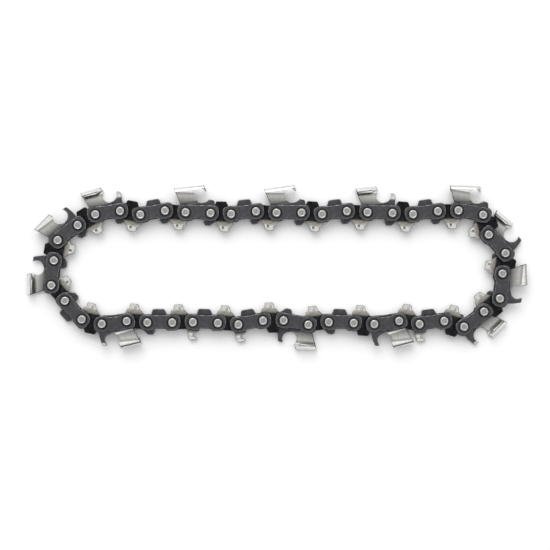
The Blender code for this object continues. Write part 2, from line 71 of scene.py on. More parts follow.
# %% Sizes of the chain, in millimetres
TO_METRES = 0.001
PITCH = 9.525
SIDE_HOLES = 10.45
DRIVE_HOLES = 2 * PITCH - SIDE_HOLES
STRAP_THICKNESS = 1.2
STRAP_HEIGHT = 6.8
STRAP_END = 3.6
DRIVE_THICKNESS = 1.3
RUNNING_GAP = 0.3
SEAT_GAP = 0.1
HEAD_HEIGHT = 0.75
SHANK_RADIUS = 1.2
HUB_RADIUS = 1.75
LOWER_PLATE = HEAD_HEIGHT
DRIVE_LAYER = LOWER_PLATE + STRAP_THICKNESS + RUNNING_GAP
UPPER_PLATE = DRIVE_LAYER + DRIVE_THICKNESS + RUNNING_GAP
TOTAL_HEIGHT = UPPER_PLATE + STRAP_THICKNESS + HEAD_HEIGHT
CUTTER_PLATE = STRAP_THICKNESS - 2 * SEAT_GAP
HALF = STRAP_HEIGHT / 2
print("Height over the rivet heads:", round(TOTAL_HEIGHT, 2), "mm")

# %% [markdown]
# ## The camera and the paper
#
# The chain can't stand, so it lies as it would come to rest and the camera looks straight down
# on it. A long lens keeps the rivets round at the ends of the loop, and the camera then stands
# high enough to show the whole loop. The floor is white paper, lit by a wide lamp from the
# loop's far side, so each row throws a faint shadow below it.

# %% The camera, straight above the loop
FRAME_WIDTH = 0.2298      # metres across the picture
LENS = 110.0
VIEW_CENTRE = (-0.0008, -0.0031)
CHAIN_TOP = 0.005         # metres above the floor at which the frame has that width

camera_data = bpy.data.cameras.new("overhead_camera")
camera_data.lens = LENS
camera = bpy.data.objects.new("overhead_camera", camera_data)
bpy.context.scene.collection.objects.link(camera)
camera.location = (*VIEW_CENTRE, FRAME_WIDTH * LENS / camera_data.sensor_width + CHAIN_TOP)
bpy.context.scene.camera = camera
bpy.context.scene.view_settings.view_transform = "Standard"
print("Camera height:", round(camera.location.z, 3), "m")


# %% Colours and nodes
def linear(hex_colour):
    """An sRGB hex value as the linear colour that Blender's sockets take."""
    channels = [int(hex_colour[place:place + 2], 16) / 255 for place in (0, 2, 4)]
    curve = [c / 12.92 if c <= 0.04045 else ((c + 0.055) / 1.055) ** 2.4 for c in channels]
    return (*curve, 1.0)


def node(tree, kind, links=(), **settings):
    """Adds a node. Settings are its own properties; links go from a socket or value to an input."""
    made = tree.nodes.new(kind)
    for name, value in settings.items():
        setattr(made, name, value)
    for target, source in dict(links).items():
        if isinstance(source, bpy.types.NodeSocket):
            tree.links.new(source, made.inputs[target])
        else:
            made.inputs[target].default_value = source
    return made


# %% Nodes that come back in every tree
def maths(tree, operation, *values):
    """One step of arithmetic on sockets or numbers, such as "SUBTRACT"."""
    return node(tree, "ShaderNodeMath", dict(enumerate(values)), operation=operation).outputs[0]


def remap(tree, value, low, high, to_low=0.0, to_high=1.0, **settings):
    """Brings a value from one range to another, and never beyond it."""
    return node(tree, "ShaderNodeMapRange", {"Value": value, "From Min": low, "From Max": high,
                                             "To Min": to_low, "To Max": to_high},
                **settings).outputs[0]


def ramp(tree, source, stops):
    """A colour ramp from (position, hex colour) stops."""
    made = node(tree, "ShaderNodeValToRGB", {"Fac": source})
    elements = made.color_ramp.elements
    while len(elements) < len(stops):
        elements.new(0.5)
    for element, (position, colour) in zip(elements, stops):
        element.position = position
        element.color = linear(colour)
    return made.outputs["Color"]


# %% Mixing two colours
MIX_AMOUNT, MIX_FIRST, MIX_SECOND = 0, 6, 7     # inputs of a mix node that mixes colours
MIX_RESULT = 2


def blend(tree, amount, first, second, **settings):
    """Mixes two colours, each a socket or a hex value, from the first at 0 to the second at 1."""
    mixed = node(tree, "ShaderNodeMix", data_type="RGBA", **settings)
    for place, source in ((MIX_AMOUNT, amount), (MIX_FIRST, first), (MIX_SECOND, second)):
        if isinstance(source, bpy.types.NodeSocket):
            tree.links.new(source, mixed.inputs[place])
        else:
            is_colour = isinstance(source, str)
            mixed.inputs[place].default_value = linear(source) if is_colour else source
    return mixed.outputs[MIX_RESULT]


# %% [markdown]
# The world is plain white to the camera. To the chain it is a room that is darker near the
# floor and on one side, and that is what draws the roundness of a rivet head or the bend of a
# cutter in a reflection. The room lights a little more strongly than it shows in reflections,
# so the paper comes out white while the steel isn't washed out.

# %% The room
ROOM_LIGHT = 1.2
ROOM_DARK_SIDE = "4c4f53"
ROOM_DARK_END = 0.15      # where the shade starts and ends, by height and side together
ROOM_WHITE_END = 0.9
SIDE_WEIGHT = 0.5         # how much the side counts against the height

world = bpy.data.worlds.new("studio_room")
bpy.context.scene.world = world
world.use_nodes = True
tree = world.node_tree
direction = node(tree, "ShaderNodeTexCoord").outputs["Generated"]
axes = node(tree, "ShaderNodeSeparateXYZ", {"Vector": direction}).outputs
tilt = maths(tree, "MULTIPLY_ADD", axes["Y"], SIDE_WEIGHT, axes["Z"])
shade = ramp(tree, tilt, [(ROOM_DARK_END, ROOM_DARK_SIDE), (ROOM_WHITE_END, "ffffff")])
print("Room shade from", ROOM_DARK_END, "to", ROOM_WHITE_END)

# %% White for the camera, a room for the chain
light_path = node(tree, "ShaderNodeLightPath").outputs
seen = blend(tree, light_path["Is Camera Ray"], shade, "ffffff")
direct = maths(tree, "MAXIMUM", light_path["Is Camera Ray"], light_path["Is Glossy Ray"])
direct = maths(tree, "MAXIMUM", direct, light_path["Is Transmission Ray"])
background = tree.nodes["Background"]
tree.links.new(seen, background.inputs["Color"])
tree.links.new(remap(tree, direct, 0.0, 1.0, ROOM_LIGHT, 1.0), background.inputs["Strength"])
print("World nodes:", len(tree.nodes))

# %% The lamp
LAMP_STRENGTH = 1.0
LAMP_ANGLE = 40.0         # degrees that the lamp spans, which sets how soft a shadow is
LAMP_TURN = (-45, -13, 0)

lamp_data = bpy.data.lights.new("wide_lamp", "SUN")
lamp_data.energy = LAMP_STRENGTH
lamp_data.angle = math.radians(LAMP_ANGLE)
lamp = bpy.data.objects.new("wide_lamp", lamp_data)
bpy.context.scene.collection.objects.link(lamp)
lamp.rotation_euler = [math.radians(turn) for turn in LAMP_TURN]
print("Lamp spans", LAMP_ANGLE, "degrees")


# %% A new material, and the paper on the floor
def new_material(name):
    """A material with an empty tree apart from its shader; gives the material and both."""
    material = bpy.data.materials.new(name)
    material.use_nodes = True
    shader = material.node_tree.nodes["Principled BSDF"]
    return material, material.node_tree, shader


bpy.ops.object.select_all(action="DESELECT")
bpy.ops.mesh.primitive_plane_add(size=6.0, location=(0, 0, 0))
floor = bpy.context.object
floor.name = "white_paper_floor"
paper, _, shader = new_material("matt_white_paper")
shader.inputs["Base Color"].default_value = linear("ffffff")
shader.inputs["Roughness"].default_value = 0.95
shader.inputs["Specular IOR Level"].default_value = 0.0
floor.data.materials.append(paper)
floor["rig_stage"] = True
print("Stage:", floor.name)

# %% [markdown]
# ## Finishes
#
# The colour of each finish follows the stamping, not the table: a strap has painted shade on its
# rolled edges with a line of painted highlight inside them, and painted shade round its rivets,
# wherever it lies in the loop. So every master gets an attribute, link_place, that stores where
# each point was on the undrawn link in millimetres, and the materials read that.


# %% Noise that follows the link
def link_place(tree):
    """Where the point was on the undrawn link, in millimetres."""
    return node(tree, "ShaderNodeAttribute", attribute_name="link_place").outputs["Vector"]


def link_axes(tree):
    return node(tree, "ShaderNodeSeparateXYZ", {"Vector": link_place(tree)}).outputs


def link_noise(tree, millimetres, stretch=(1.0, 1.0, 1.0), detail=4.0):
    """Noise whose grain is that many millimetres, longer along the axes that are stretched."""
    scale = [1 / (millimetres * share) for share in stretch]
    scaled = node(tree, "ShaderNodeVectorMath", {0: link_place(tree), 1: scale},
                  operation="MULTIPLY").outputs[0]
    return node(tree, "ShaderNodeTexNoise", {"Vector": scaled, "Scale": 1.0,
                                             "Detail": detail}).outputs["Fac"]


# %% What a noise does to a metal
NOISE_LOW, NOISE_HIGH = 0.3, 0.7      # a noise seldom leaves this range


def roughen(tree, shader, source, low, high):
    """Drives the roughness between two values with a noise."""
    spread = remap(tree, source, NOISE_LOW, NOISE_HIGH, low, high)
    tree.links.new(spread, shader.inputs["Roughness"])


def grain_bump(tree, shader, grain, strength, depth):
    """Fine pits of that grain and depth, both in millimetres."""
    bump = node(tree, "ShaderNodeBump", {"Height": link_noise(tree, grain), "Strength": strength,
                                         "Distance": depth * TO_METRES})
    tree.links.new(bump.outputs["Normal"], shader.inputs["Normal"])


def mottled_steel(name, grain, stops, roughness, metallic=1.0, pits=None):
    """A metal whose colour wanders over the stops with a grain of that many millimetres. Its
    pits are a grain, a strength and a depth."""
    made, tree, shader = new_material(name)
    tree.links.new(ramp(tree, link_noise(tree, grain), stops), shader.inputs["Base Color"])
    shader.inputs["Metallic"].default_value = metallic
    shader.inputs["Roughness"].default_value = roughness
    if pits:
        grain_bump(tree, shader, *pits)
    print("Finish:", name)
    return made


# %% [markdown]
# ### Blued spring steel
#
# Straps and the cutters' chassis are stamped from spring steel, hardened and blued in hot
# salts. That leaves a thin blue-black oxide with a satin sheen, slightly mottled where oil
# lies on it. It is modelled as a dark metal with a mottled colour of a few millimetres' grain.
# Round the rivet heads the colour falls to nearly black, a painted shade where each head sits
# on the strap, by the distance to the nearer of the link's two rivets.

# %% Painted shade round the rivets
RIVET_SHADE_INSIDE = 1.9          # millimetres from a rivet's centre where the painted shade is darkest
RIVET_SHADE_OUTSIDE = 2.8         # and where it ends
RIVET_SHADE_COLOUR = "121315"


def rivet_distance(tree, holes):
    """How far a point lies from the nearer rivet of a link with such a hole spacing."""
    axes = link_axes(tree)
    from_middle = maths(tree, "SUBTRACT", axes["X"], holes / 2)
    from_rivet = maths(tree, "SUBTRACT", maths(tree, "ABSOLUTE", from_middle), holes / 2)
    flat = node(tree, "ShaderNodeCombineXYZ", {"X": from_rivet, "Y": axes["Y"]}).outputs[0]
    return node(tree, "ShaderNodeVectorMath", {0: flat}, operation="LENGTH").outputs["Value"]


# %% Blued spring steel
SATIN_OXIDE = [(0.30, "434346"), (0.55, "4e4e51"), (0.75, "58585b")]
OXIDE_GRAIN = 2.6         # millimetres


def oxide(tree, stops, holes=SIDE_HOLES):
    """The mottled colour of the oxide, with its ring of painted shade round both rivets."""
    # Painted shade: the oxide falls to nearly black round each rivet head
    clear_of_rivet_shade = remap(tree, rivet_distance(tree, holes), RIVET_SHADE_INSIDE, RIVET_SHADE_OUTSIDE,
                         interpolation_type="SMOOTHSTEP")
    mottled = ramp(tree, link_noise(tree, OXIDE_GRAIN), stops)
    return blend(tree, clear_of_rivet_shade, RIVET_SHADE_COLOUR, mottled)


blued_steel, tree, shader = new_material("blued_spring_steel")
tree.links.new(oxide(tree, SATIN_OXIDE), shader.inputs["Base Color"])
shader.inputs["Metallic"].default_value = 0.85
roughen(tree, shader, link_noise(tree, 0.5), 0.34, 0.52)
grain_bump(tree, shader, grain=0.25, strength=0.25, depth=0.02)
print("Finish:", blued_steel.name)

# %% [markdown]
# ### Rolled edges, in painted shade and highlight
#
# The press rolls the edge of a stamping over. The roll is painted nearly black, a painted shade
# where the edge turns away from the light. Where the roll meets the flat face a thin grey line is
# painted, a painted highlight along the edge. The bevel modifier can give its new faces a
# material of their own, which puts both exactly where they belong.

# %% Rolled edge in painted shade, and a line of painted highlight
# Painted shade on the roll, and a line of painted highlight where the roll meets the flat face
shade_painted_edge = mottled_steel("painted_shade_on_roll", 1.4, [(0.35, "090a0b"), (0.65, "1d1e20")],
                            roughness=0.42, metallic=0.7)
highlight_line_edge = mottled_steel("painted_highlight_line", 1.2, [(0.38, "4c4c4f"), (0.62, "9c9c9e")],
                            roughness=0.36)

# %% [markdown]
# ### Peened rivet steel
#
# A rivet is bright turned steel. Its head is formed cold by a spinning tool, which polishes a
# domed ring and leaves a flatter grey centre with fine pits. Two materials on one turned piece
# show that: the faces near its axis get the grey one.

# %% Rivet ring and rivet centre
rivet_ring = mottled_steel("spun_rivet_steel", 0.8, [(0.3, "b9b9b8"), (0.7, "e2e2e0")],
                           roughness=0.24)
rivet_centre = mottled_steel("peened_rivet_centre", 0.45,
                             [(0.3, "838383"), (0.5, "9b9b9a"), (0.7, "b0b0af")],
                             roughness=0.42, pits=(0.3, 0.5, 0.03))

# %% [markdown]
# ### Hard chrome
#
# The cutters' side plate and top plate carry a hard chrome layer, which is what cuts. It is
# plated over a brushed strip, so it has soft streaks along the strip. Its colour also carries
# painted light by height: painted shade low on the side plate next to the strap, a painted dark
# reflection in a band just under the bend, and a painted highlight on the bend and the top
# plate. Such bands lie at one height all along the strip, so a colour ramp over that height
# draws them.

# %% Hard chrome
CHROME_FOOT = 3.4         # millimetres above the rivet line where the plate starts
CHROME_CREST = 10.4       # and where it is at its highest
# Painted light by height: shade at the foot, a dark reflection under the bend, a highlight on the
# bend and top plate
CHROME_LIGHT_BANDS = [(0.0, "585756"), (0.2, "8b8a88"), (0.5, "bdbcb9"), (0.68, "989794"),
                (0.73, "f0f0ee"), (1.0, "dfdedc")]
STREAK_COLOUR = "767573"
BRUSHED_SHARE = 0.18      # how far a streak darkens the chrome

hard_chrome, tree, shader = new_material("hard_chrome_plate")
height = remap(tree, link_axes(tree)["Y"], CHROME_FOOT, CHROME_CREST)
streaks = link_noise(tree, 0.6, stretch=(1.0, 9.0, 1.0), detail=2.0)
brushed = remap(tree, streaks, 0.35, 0.65, 0.0, BRUSHED_SHARE)
chrome = blend(tree, brushed, ramp(tree, height, CHROME_LIGHT_BANDS), STREAK_COLOUR)
tree.links.new(chrome, shader.inputs["Base Color"])
shader.inputs["Metallic"].default_value = 1.0
roughen(tree, shader, link_noise(tree, 1.5), 0.18, 0.28)
print("Finish:", hard_chrome.name)

# %% [markdown]
# ### Body in painted shade, ground end
#
# A drive link is blued like the straps, and its body, which lies between them, is painted
# nearly black as shade. Its tang runs in the groove of the bar and is ground bright on both
# sides, with a darker brown-grey next to the strap that is painted shade. The guard teeth and
# the tips of the tipped depth gauges are ground too, and the hooked gauges of two cutters get a
# painted highlight on their tips the same way. The change lies at one height on the link, so
# the material reads that height, with a little noise to make the border uneven.

# %% Steel that is ground beyond a border
BORDER_WANDER = 1.2       # millimetres by which the border moves up and down
BARE_SHARE = 0.2          # share of the reach within which the oxide ends
# Darker brown-grey next to the border, painted shade where a strap shades a tang, then bright
# ground steel
SHADE_AND_GROUND_TONES = [(0.0, "827f79"), (0.4, "a3a09a"), (0.75, "cbc9c4"), (1.0, "ffffff")]
SCRATCH_TONES = [(0.35, "bdbcb8"), (0.65, "e0dfdb")]


def ground_beyond(name, border, side, reach, stops=SATIN_OXIDE, holes=SIDE_HOLES):
    """Blued steel that is ground bright above the border (side 1) or below it (side -1). It
    passes through a darker brown-grey next to the border, which on a tang is painted shade below
    the strap, and is fully bright once it is the reach away."""
    made, tree, shader = new_material(name)
    uneven = maths(tree, "MULTIPLY_ADD", link_noise(tree, 1.6), BORDER_WANDER,
                   link_axes(tree)["Y"])
    start = border + BORDER_WANDER / 2
    ground = remap(tree, uneven, start, start + reach * side)
    scratches = link_noise(tree, 0.9, stretch=(3.0, 1.0, 1.0), detail=2.0)
    bright = blend(tree, 1.0, ramp(tree, ground, SHADE_AND_GROUND_TONES),
                   ramp(tree, scratches, SCRATCH_TONES), blend_type="MULTIPLY")
    bare = remap(tree, ground, 0.0, BARE_SHARE)
    colour = blend(tree, bare, oxide(tree, stops, holes), bright)
    tree.links.new(colour, shader.inputs["Base Color"])
    shader.inputs["Metallic"].default_value = 1.0
    shader.inputs["Roughness"].default_value = 0.3
    print("Finish:", name)
    return made


# %% The four kinds of ground end
TANG_BORDER = -2.9        # millimetres from the rivet line
TOOTH_BORDER = -3.6
TIP_BORDER = 5.4
# Painted highlight: two hooked gauges are painted bright above this height
HOOK_HIGHLIGHT_BORDER = 7.8
# Painted shade: the drive link's body between the straps is painted nearly black
DRIVE_BODY_SHADE = [(0.3, "161618"), (0.7, "303032")]

drive_steel = ground_beyond("ground_drive_link_steel", TANG_BORDER, -1, 2.4, DRIVE_BODY_SHADE,
                            DRIVE_HOLES)
tooth_steel = ground_beyond("ground_guard_tooth_steel", TOOTH_BORDER, -1, 1.2)
tip_steel = ground_beyond("ground_gauge_tip_steel", TIP_BORDER, 1, 0.8)
gauge_highlight_steel = ground_beyond("gauge_hook_painted_highlight", HOOK_HIGHLIGHT_BORDER, 1, 0.5)

# %% Edges of a drive link
edge_steel = mottled_steel("ground_edge_steel", 1.0, [(0.3, "39393a"), (0.7, "7e7e7f")],
                           roughness=0.3)
print("Materials:", len(bpy.data.materials))

# %% [markdown]
# ## Tools for drawing a stamping
#
# A stamping is a flat outline with a thickness. By hand, one vertex is extruded from corner to
# corner with E, the ring is closed and filled with F, and the face is extruded upwards. The
# helpers do those same steps. A press also rolls the edges over a little, which a bevel on the
# sharp edges gives, and holes and unions are booleans, so that each link ends as one closed
# solid.

# %% Pick one piece
def deselect():
    if bpy.context.object and bpy.context.object.mode != "OBJECT":
        bpy.ops.object.mode_set(mode="OBJECT")
    bpy.ops.object.select_all(action="DESELECT")


def pick(item):
    deselect()
    item.select_set(True)
    bpy.context.view_layer.objects.active = item


def copy_of(item, name):
    pick(item)
    bpy.ops.object.duplicate()
    made = bpy.context.object
    made.name = name
    return made


def apply_place():
    """Brings the place, turn and size of the picked piece into its mesh."""
    bpy.ops.object.transform_apply(location=True, rotation=True, scale=True)


# %% Draw with one vertex
def arc(centre_x, centre_y, radius, start, end, steps):
    """Points along an arc, with angles in degrees."""
    turns = [math.radians(start + (end - start) * step / steps) for step in range(steps + 1)]
    return [(centre_x + radius * math.cos(t), centre_y + radius * math.sin(t)) for t in turns]


def push_vertex(name, points):
    """One vertex is pushed through 3-D points, and all that it leaves is selected."""
    deselect()
    bpy.ops.mesh.primitive_plane_add(size=1.0, location=(0, 0, 0))
    item = bpy.context.object
    item.name = name
    bpy.ops.object.mode_set(mode="EDIT")
    bpy.ops.mesh.select_all(action="SELECT")
    bpy.ops.mesh.merge(type="CENTER")
    bpy.ops.transform.translate(value=points[0])
    for here, there in zip(points, points[1:]):
        step = Vector(there) - Vector(here)
        bpy.ops.mesh.extrude_vertices_move(TRANSFORM_OT_translate={"value": step})
    bpy.ops.mesh.select_all(action="SELECT")
    return item


def close_solid():
    """Turns all faces of the mesh outwards and leaves edit mode."""
    bpy.ops.mesh.select_all(action="SELECT")
    bpy.ops.mesh.normals_make_consistent(inside=False)
    bpy.ops.object.mode_set(mode="OBJECT")


# %% Give an outline thickness
def extruded(name, points, step, material):
    """A filled face through 3-D points, extruded by a step."""
    item = push_vertex(name, points)
    bpy.ops.mesh.edge_face_add()
    bpy.ops.mesh.extrude_region_move(TRANSFORM_OT_translate={"value": step})
    close_solid()
    item.data.materials.append(material)
    return item


def stamping(name, outline, bottom, thickness, material):
    """A flat plate with that outline, from its bottom upwards."""
    points = [(x, y, bottom) for x, y in outline]
    return extruded(name, points, (0, 0, thickness), material)


# %% Holes and unions
def cylinder(name, radius, x, y, material, steps=32):
    """An upright cylinder from the floor to the rivet heads."""
    deselect()
    bpy.ops.mesh.primitive_cylinder_add(vertices=steps, radius=radius, depth=TOTAL_HEIGHT,
                                        location=(x, y, TOTAL_HEIGHT / 2))
    item = bpy.context.object
    item.name = name
    apply_place()
    item.data.materials.append(material)
    return item


def boolean(item, other, operation):
    """Joins or cuts with another solid, which is used up."""
    pick(item)
    step = item.modifiers.new("Boolean", "BOOLEAN")
    step.operation = operation
    step.solver = "EXACT"
    step.material_mode = "TRANSFER"
    step.object = other
    bpy.ops.object.modifier_apply(modifier=step.name)
    bpy.data.objects.remove(other, do_unlink=True)
    return item


def drill(item, spots, radius, material):
    for x in spots:
        boolean(item, cylinder("bore", radius, x, 0, material), "DIFFERENCE")


# %% Rolled edges
LINE_LEVEL = 0.9          # how level a strip of the roll lies that gets the line of painted highlight


def slot_of(item, material):
    """The number of the material's slot on the piece, which is added where it is missing."""
    if material.name not in item.data.materials:
        item.data.materials.append(material)
    return item.data.materials.find(material.name)


def soften(item, width, edge_material, line_material=None, segments=2, angle=35.0):
    """Bevels the sharp edges; the new faces get the edge material, and the ones that lie next
    to the flat face the line material where one is given."""
    pick(item)
    bevel = item.modifiers.new("Rolled edge", "BEVEL")
    bevel.width = width
    bevel.segments = segments
    bevel.limit_method = "ANGLE"
    bevel.angle_limit = math.radians(angle)
    edge_slot = slot_of(item, edge_material)
    bevel.material = edge_slot
    bpy.ops.object.modifier_apply(modifier=bevel.name)
    if line_material:
        line_slot = slot_of(item, line_material)
        for face in item.data.polygons:
            if face.material_index == edge_slot and LINE_LEVEL < abs(face.normal.z):
                face.material_index = line_slot
    return item


# %% Mirror images
def mirrored(item, axis):
    """Turns a piece into its mirror image: across the rivet line for "Y", turned over for "Z"."""
    pick(item)
    if axis == "Y":
        item.scale.y = -1
    else:
        item.scale.z = -1
        item.location.z = TOTAL_HEIGHT
    apply_place()
    bpy.ops.object.mode_set(mode="EDIT")
    close_solid()
    return item


# %% [markdown]
# ## Tie straps
#
# A tie strap is a short bar with round ends and a waist between its rivets. Seen from the
# chain's outside its corners are tighter, and the edge on that side is nearly straight. The
# lower strap of a tie link also carries a guard hump, which limits how deep the next cutter
# bites, and a toe under the front rivet. On three links a hooked guard tooth takes the toe's
# place. Every outline goes round the strap once, from its front corner over the back.

# %% Corners and waist of a strap
OUTER_CORNER = 2.2
INNER_CORNER = 3.0
WAIST_DEPTH = 0.8
WAIST_LENGTH = 3.8
WAIST_SLOPE = 1.4
OUTER_WAIST = 0.22
OUTER_WAIST_END = 0.6     # from a rivet to where the shallow dip of the back starts


def corner_arcs():
    """Rounded corners of a strap: front outer, rear outer, rear inner, front inner."""
    outer = STRAP_END - OUTER_CORNER
    inner = STRAP_END - INNER_CORNER
    return (arc(SIDE_HOLES + outer, HALF - OUTER_CORNER, OUTER_CORNER, 0, 90, 7),
            arc(-outer, HALF - OUTER_CORNER, OUTER_CORNER, 90, 180, 7),
            arc(-inner, INNER_CORNER - HALF, INNER_CORNER, 180, 270, 9),
            arc(SIDE_HOLES + inner, INNER_CORNER - HALF, INNER_CORNER, 270, 360, 9))


def back_dip(steps=10):
    """The shallow dip in the back between the rivets, a cosine from front to rear."""
    start = SIDE_HOLES - OUTER_WAIST_END
    shares = [step / steps for step in range(steps + 1)]
    return [(start + (OUTER_WAIST_END - start) * share,
             HALF - OUTER_WAIST * (1 - math.cos(2 * math.pi * share)) / 2) for share in shares]


def waist(steps=4):
    """The waist between the rivets, rear slope first."""
    start = SIDE_HOLES / 2 - WAIST_LENGTH / 2 - WAIST_SLOPE
    shares = [step / steps for step in range(steps + 1)]
    rise = [(start + WAIST_SLOPE * share,
             WAIST_DEPTH * (1 - math.cos(math.pi * share)) / 2 - HALF) for share in shares]
    return rise + [(SIDE_HOLES - x, y) for x, y in reversed(rise)]


WAIST_BEFORE_TOE = 9      # points of the waist that stay where a toe takes over
print("Points of the waist:", len(waist()))

# %% Guard hump and toe
HUMP_HEIGHT = 2.2
HUMP_START = 2.6
HUMP_LENGTH = 6.4
HUMP_PEAK = 0.45          # share of its length at which the crown is marked
HUMP_FRONT_ROUND = 0.9
HUMP_FRONT_RUN = 1.2      # from the hump's front to the middle of that round
HUMP_REAR_ROUND = 1.1
HUMP_REAR_RUN = 1.6
TOE_DEPTH = 1.7
TOE_LENGTH = 3.1
TOE_SLOPE = 0.7
TOE_REAR_ROUND = 0.5
TOE_FRONT_ROUND = 0.6
TOE_FRONT_RUN = 0.3       # from the rivet back to the middle of that round
TOE_KNEE = (0.42, 0.7)    # bend in the toe's rear edge, from its start and above its floor


def hump():
    end = HUMP_START + HUMP_LENGTH
    crown = HALF + HUMP_HEIGHT
    front = arc(end - HUMP_FRONT_RUN, crown - HUMP_FRONT_ROUND, HUMP_FRONT_ROUND, 0, 90, 4)
    peak = (HUMP_START + HUMP_LENGTH * HUMP_PEAK, crown)
    rear = arc(HUMP_START + HUMP_REAR_RUN, crown - HUMP_REAR_ROUND, HUMP_REAR_ROUND, 100, 170, 4)
    return [(end, HALF)] + front + [peak] + rear + [(HUMP_START, HALF)]


def toe():
    """A foot just behind the front rivet; it runs out into the front corner."""
    start = SIDE_HOLES - TOE_LENGTH
    floor = -HALF - TOE_DEPTH
    rear = arc(start + TOE_SLOPE + TOE_REAR_ROUND, floor + TOE_REAR_ROUND, TOE_REAR_ROUND,
               200, 270, 3)
    front = arc(SIDE_HOLES - TOE_FRONT_RUN, floor + TOE_FRONT_ROUND, TOE_FRONT_ROUND, 270, 320, 3)
    return [(start, -HALF), (start + TOE_KNEE[0], floor + TOE_KNEE[1])] + rear + front


# %% Guard tooth
TOOTH_HEIGHT = 4.2
TOOTH_START = 2.8
TOOTH_LEAD = 2.2
TOOTH_BITE = 2.1
TOOTH_BITE_ROUND = 0.9
TOOTH_CROWN_ROUND = 0.6
TOOTH_FRONT_ROUND = 1.1
TOOTH_BACK = [(0.9, 0.75), (1.0, 0.3)]    # its blunt rear corner, from rear and crown


def guard_tooth():
    """A hooked tooth at the front rivet: a steep front, a round crown, a bite at the rear."""
    front = SIDE_HOLES + TOOTH_LEAD
    rear = SIDE_HOLES - TOOTH_START
    crown = -HALF - TOOTH_HEIGHT
    bite = arc(rear + 1.9, crown + TOOTH_BITE + 0.1, TOOTH_BITE_ROUND, 90, -90, 5)
    back = [(rear + x, crown + y) for x, y in TOOTH_BACK]
    top = arc((rear + front) / 2, crown + TOOTH_CROWN_ROUND, TOOTH_CROWN_ROUND, 240, 270, 1)
    steep = arc(front - 1.6, crown + TOOTH_FRONT_ROUND, TOOTH_FRONT_ROUND, 280, 340, 3)
    return [(rear, -HALF), (rear + 0.7, -HALF - 0.8)] + bite + back + top + steep + [(front, -HALF)]


# %% The four outlines of a strap
CORNER_AFTER_TOE = 3      # points of the front corner that a toe or a tooth replaces


def strap_outline(kind):
    front_outer, rear_outer, rear_inner, front_inner = corner_arcs()
    if kind == "plain":
        return front_outer + back_dip() + rear_outer + rear_inner + waist() + front_inner
    back = back_dip() if kind == "footed" else hump()
    foot = guard_tooth() if kind == "toothed" else toe()
    return (front_outer + back + rear_outer + rear_inner + waist()[:WAIST_BEFORE_TOE] + foot
            + front_inner[CORNER_AFTER_TOE:])


for kind in ("plain", "footed", "humped", "toothed"):
    print("Points of a", kind, "strap:", len(strap_outline(kind)))

# %% [markdown]
# ## Rivets
#
# A rivet is a turned piece: a hub in the middle, which the drive link turns on, a thinner shank
# at both ends for the straps, and a head that is spun over each of them. Its half section is
# drawn and spun round the axis.

# %% Half section of a rivet
HEAD_RADIUS = 1.95
HEAD_FLAT_RADIUS = 1.4
HEAD_CENTRE_RADIUS = 1.15
HEAD_SECTION = [(0.0, 0.08), (HEAD_CENTRE_RADIUS, 0.08), (HEAD_FLAT_RADIUS - 0.1, 0.04),
                (HEAD_FLAT_RADIUS, 0.0), (HEAD_FLAT_RADIUS + 0.12, 0.02), (1.68, 0.12),
                (1.82, 0.28), (1.91, 0.5), (HEAD_RADIUS, HEAD_HEIGHT)]    # radius, depth
SINK = 0.15               # how far a head is sunk into the strap that it is joined to


def rivet_profile(sunk_above, sunk_below):
    """The whole half section; a sunk head is joined to the strap that it holds."""
    above = SINK if sunk_above else 0.0
    below = SINK if sunk_below else 0.0
    top = [(radius, TOTAL_HEIGHT - depth) for radius, depth in HEAD_SECTION]
    bottom = [(radius, TOTAL_HEIGHT - height) for radius, height in reversed(top)]
    upper_seat = TOTAL_HEIGHT - HEAD_HEIGHT - above
    lower_seat = HEAD_HEIGHT + below
    hub_top = UPPER_PLATE + above
    hub_bottom = LOWER_PLATE + STRAP_THICKNESS - below
    middle = [(SHANK_RADIUS, upper_seat), (SHANK_RADIUS, hub_top), (HUB_RADIUS, hub_top),
              (HUB_RADIUS, hub_bottom), (SHANK_RADIUS, hub_bottom), (SHANK_RADIUS, lower_seat)]
    if sunk_above:
        middle.insert(0, (HEAD_RADIUS, upper_seat))
    if sunk_below:
        middle.append((HEAD_RADIUS, lower_seat))
    return top + middle + bottom


print("Points of the half section:", len(rivet_profile(True, True)))

# %% The rivet, spun from its half section
RIVET_STEPS = 28
WELD = 0.001              # millimetres within which the two ends of the spin become one
DISH_DEPTH = 0.2          # faces that lie this near the head's top belong to its grey centre


def rivet(name, sunk_above, sunk_below, x):
    profile = rivet_profile(sunk_above, sunk_below)
    item = push_vertex(name, [(x + radius, 0, height) for radius, height in profile])
    bpy.ops.mesh.spin(steps=RIVET_STEPS, angle=math.radians(360), center=(x, 0, 0),
                      axis=(0, 0, 1))
    bpy.ops.mesh.select_all(action="SELECT")
    bpy.ops.mesh.remove_doubles(threshold=WELD)
    close_solid()
    item.data.materials.append(rivet_ring)
    item.data.materials.append(rivet_centre)
    for face in item.data.polygons:
        reach = math.hypot(face.center.x - x, face.center.y)
        on_top = abs(face.center.z - TOTAL_HEIGHT / 2) > TOTAL_HEIGHT / 2 - DISH_DEPTH
        face.material_index = 1 if on_top and reach < HEAD_CENTRE_RADIUS else 0
    return item


# %% [markdown]
# A link's straps are softened first, because the rivets' own edges stay crisp, and then joined
# with their rivets into one closed solid.

# %% Riveting
EDGE_WIDTH = 0.42
ROLL_SEGMENTS = 4


def riveted(name, plates, sunk_above, sunk_below):
    """Joins one or two softened straps with two rivets."""
    item = rivet(name, sunk_above, sunk_below, 0.0)
    second = rivet("second_rivet", sunk_above, sunk_below, SIDE_HOLES)
    for plate in plates:
        boolean(item, plate, "UNION")
    return boolean(item, second, "UNION")


